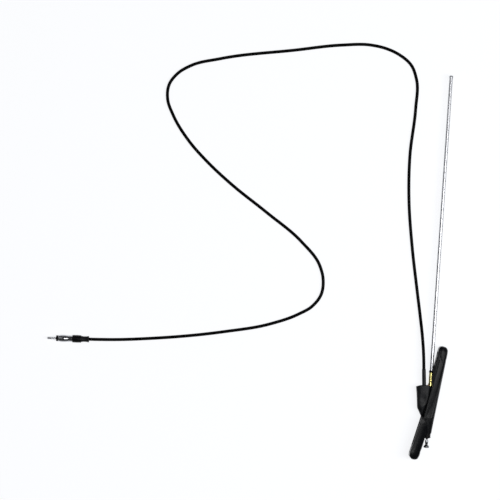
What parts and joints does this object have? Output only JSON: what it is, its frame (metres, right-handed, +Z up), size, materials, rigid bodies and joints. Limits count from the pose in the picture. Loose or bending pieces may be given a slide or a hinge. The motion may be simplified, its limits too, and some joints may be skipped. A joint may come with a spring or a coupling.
{
  "type": "car radio antenna",
  "caption": "Retractable telescopic mast in a long black pillar holder with screw holes, pull knob, soft boot and a coaxial lead ending in a slotted aerial plug.",
  "frame": {"origin": "centre of the upper screw hole, on the seat of the upper wing that lies against the pillar", "axes": "+X out of the seat through the screw hole, +Y along the upper wing towards the far end of the mast tube, +Z up from the table the part lies on"},
  "size_m": [0.4952, 0.4909, 0.018],
  "materials": {
    "black_abs": "satin moulded, very fine grain",
    "black_rubber": "matt",
    "white_nylon": "natural",
    "black_nylon": "semi-matt",
    "plated_steel": "bright nickel plating",
    "brass": "bright, drawn",
    "copper": "dull, soldered",
    "black_pvc": "soft, slightly glossy",
    "chrome": "polished"
  },
  "bodies": {
    "holder": {"bezel": "black_abs", "mouth_grommet": "black_rubber", "guide_bush": "white_nylon", "mast_tube": "plated_steel", "tube_end_cap": "plated_steel", "contact_sleeve": "brass", "insulating_ring": "black_nylon", "solder_lug": "copper", "crimp_ferrule": "plated_steel", "boot": "black_pvc", "strain_relief": "black_pvc", "coax_lead": "black_pvc", "plug_tail": "black_pvc", "plug_collar": "black_nylon", "plug_barrel": "chrome", "plug_insulator": "black_nylon", "plug_pin": "chrome"},
    "middle_section": {"middle_tube": "chrome", "middle_bush": "brass"},
    "tip_section": {"tip_rod": "chrome", "tip_bush": "brass", "pull_knob": "chrome"}
  },
  "joints": [
    {"name": "middle_slide", "type": "slide", "parent": "holder", "child": "middle_section", "axis": [0.1822, -0.9833, 0], "range_m": [0, 0.4]},
    {"name": "tip_slide", "type": "slide", "parent": "middle_section", "child": "tip_section", "axis": [0.1822, -0.9833, 0], "range_m": [0, 0.39]}
  ]
}
